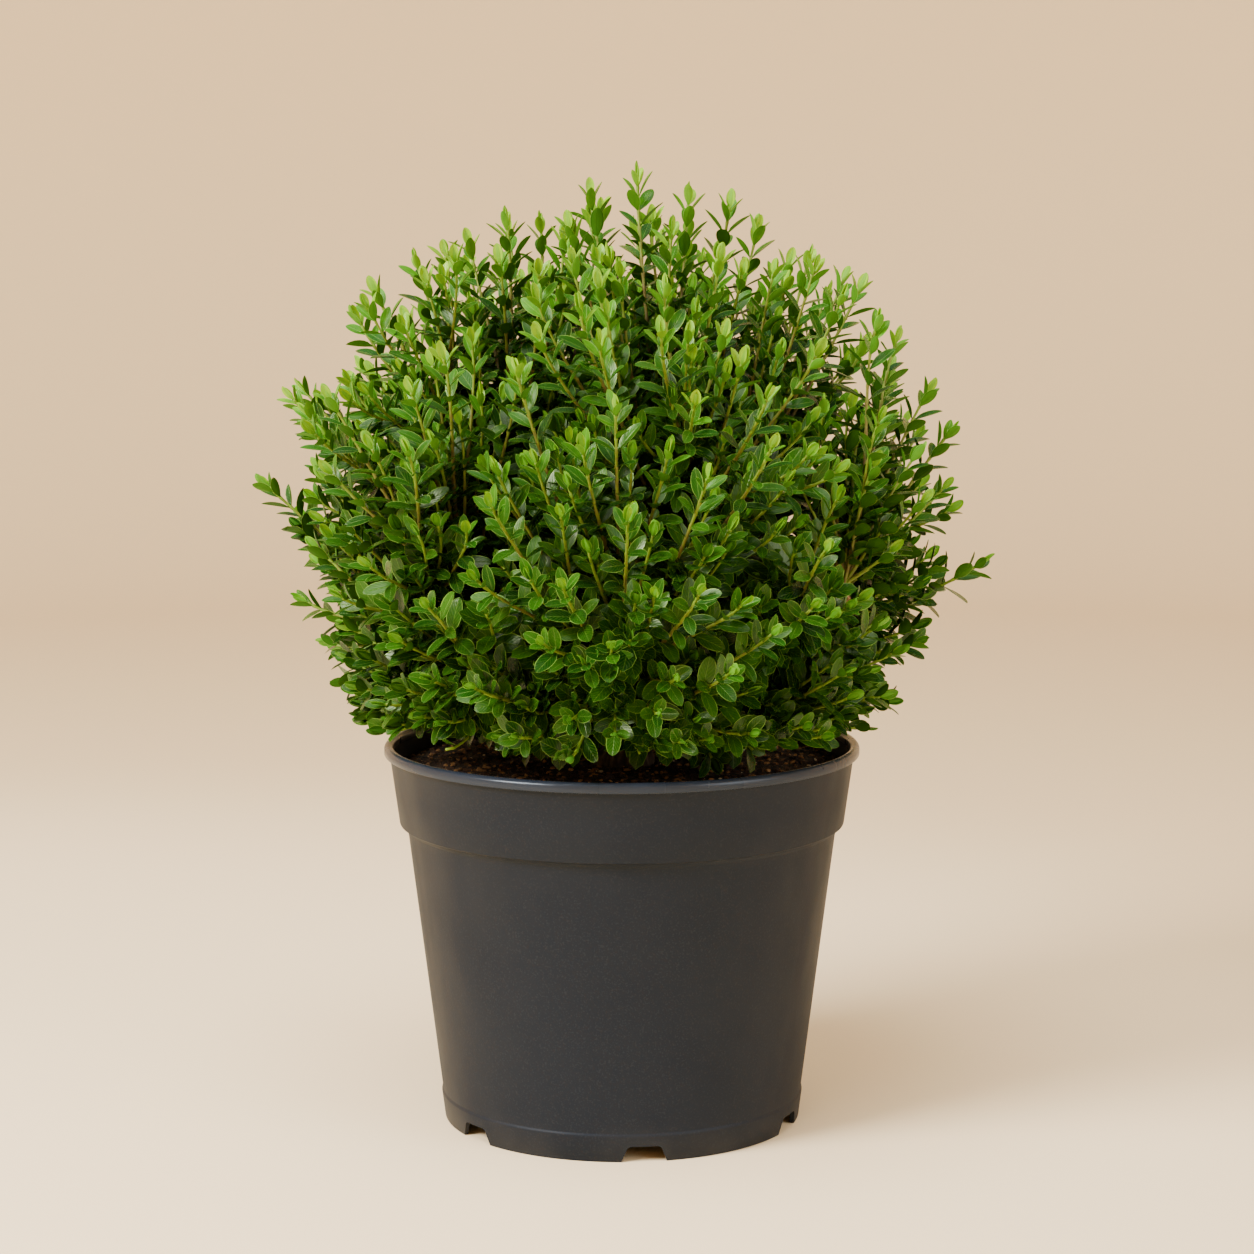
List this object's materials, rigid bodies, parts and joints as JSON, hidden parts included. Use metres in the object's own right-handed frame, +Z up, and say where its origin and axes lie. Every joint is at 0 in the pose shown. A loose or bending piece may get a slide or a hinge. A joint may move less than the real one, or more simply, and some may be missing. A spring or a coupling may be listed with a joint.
{
  "type": "potted boxwood",
  "caption": "Bushy rounded boxwood with glossy oval leaves in opposite pairs, growing in soil in a plain tapered plastic nursery pot with a deep stacking collar.",
  "frame": {"origin": "on the standing surface, at the middle of the plant's and the pot's outline; the pot's axis is the Z axis", "axes": "+Z up along the pot's axis, -Y towards the front, +X to the viewer's right"},
  "size_m": [0.3728, 0.3413, 0.482],
  "materials": {
    "pot_plastic": "fine matte texture, smoother lip",
    "soil": "loose dark bark and peat crumbs",
    "old_bark": "rough grey-brown bark",
    "stem_bark": "smooth tan bark",
    "leaf_green": "glossy leathery leaves"
  },
  "bodies": {
    "root": {"nursery_pot": "pot_plastic", "potting_soil": "soil", "root_crown": "old_bark", "stem_01": "stem_bark", "stem_02": "stem_bark", "stem_03": "stem_bark", "stem_04": "stem_bark", "stem_05": "stem_bark", "stem_06": "stem_bark", "stem_07": "stem_bark", "stem_08": "stem_bark", "stem_09": "stem_bark", "shoot_01": "leaf_green", "shoot_02": "leaf_green", "shoot_03": "leaf_green", "shoot_04": "leaf_green", "shoot_05": "leaf_green", "shoot_06": "leaf_green", "shoot_07": "leaf_green", "shoot_08": "leaf_green", "shoot_09": "leaf_green", "shoot_10": "leaf_green", "shoot_11": "leaf_green", "shoot_12": "leaf_green", "shoot_13": "leaf_green", "shoot_14": "leaf_green", "shoot_15": "leaf_green", "shoot_16": "leaf_green", "shoot_17": "leaf_green", "shoot_18": "leaf_green", "shoot_19": "leaf_green", "shoot_20": "leaf_green", "shoot_21": "leaf_green", "shoot_22": "leaf_green", "shoot_23": "leaf_green", "shoot_24": "leaf_green", "shoot_25": "leaf_green", "shoot_26": "leaf_green", "shoot_27": "leaf_green", "shoot_28": "leaf_green", "shoot_29": "leaf_green", "shoot_30": "leaf_green", "shoot_31": "leaf_green", "shoot_32": "leaf_green", "shoot_33": "leaf_green", "shoot_34": "leaf_green", "shoot_35": "leaf_green", "shoot_36": "leaf_green", "shoot_37": "leaf_green", "shoot_38": "leaf_green", "shoot_39": "leaf_green", "shoot_40": "leaf_green", "shoot_41": "leaf_green", "shoot_42": "leaf_green", "shoot_43": "leaf_green", "shoot_44": "leaf_green", "shoot_45": "leaf_green", "shoot_46": "leaf_green", "shoot_47": "leaf_green", "shoot_48": "leaf_green"}
  },
  "joints": []
}
